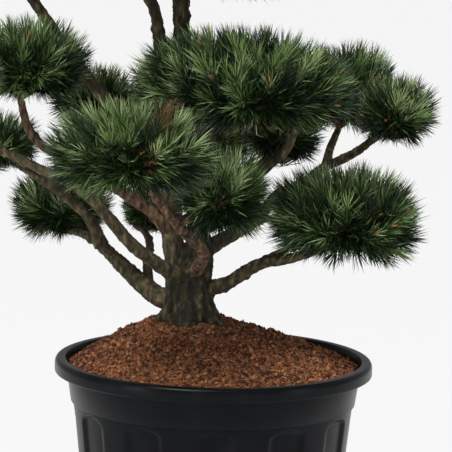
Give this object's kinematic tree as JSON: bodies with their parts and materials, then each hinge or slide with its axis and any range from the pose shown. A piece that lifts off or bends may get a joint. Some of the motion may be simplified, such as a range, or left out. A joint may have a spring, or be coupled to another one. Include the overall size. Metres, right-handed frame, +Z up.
{
  "type": "potted gnom mugo pine",
  "caption": "Dwarf mountain pine trained into cloud-like needle pads on bare boughs, growing in a black fluted nursery pot filled with brown peat.",
  "frame": {"origin": "centre of the pot's flat underside, on the surface it stands on", "axes": "+Z up; -Y is the front that the picture shows; +X to the viewer's right"},
  "size_m": [0.837, 0.7036, 1.2516],
  "materials": {
    "pot_plastic": "moulded black plastic, satin, faintly blue, lightly dusty",
    "peat": "moist brown peat and coir fibre, rough and crumbly",
    "bark": "fissured grey-brown to olive bark, redder on young wood",
    "needles": "dense dark green needles, lighter at the tops"
  },
  "bodies": {
    "root": {"pot": "pot_plastic", "soil": "peat", "trunk": "bark", "left_stem": "bark", "far_left_stem": "bark", "rising_left_bough": "bark", "low_left_bough": "bark", "front_left_bough": "bark", "front_bough": "bark", "low_right_bough": "bark", "high_right_bough": "bark", "upper_bough": "bark", "back_bough": "bark", "back_right_bough": "bark", "back_upper_bough": "bark", "top_right_bough": "bark", "top_back_bough": "bark", "back_left_bough": "bark", "low_left_riser": "bark", "back_middle_bough": "bark", "left_edge_bough": "bark", "front_side_bough": "bark", "low_right_fork": "bark", "high_right_fork": "bark", "high_right_side": "bark", "needles_front_left": "needles", "needles_front_right": "needles", "needles_right": "needles", "needles_upper": "needles", "needles_far_right_upper": "needles", "needles_far_right_lower": "needles", "needles_upper_left": "needles", "needles_left_edge": "needles", "needles_back_left": "needles", "needles_left_middle": "needles", "needles_left_low": "needles", "needles_back_middle": "needles", "needles_back_centre": "needles", "needles_back_right": "needles", "needles_back_upper": "needles", "needles_left_outer": "needles", "needles_top_left": "needles", "needles_top_front": "needles", "needles_top": "needles", "needles_top_right": "needles", "needles_top_back": "needles"}
  },
  "joints": []
}
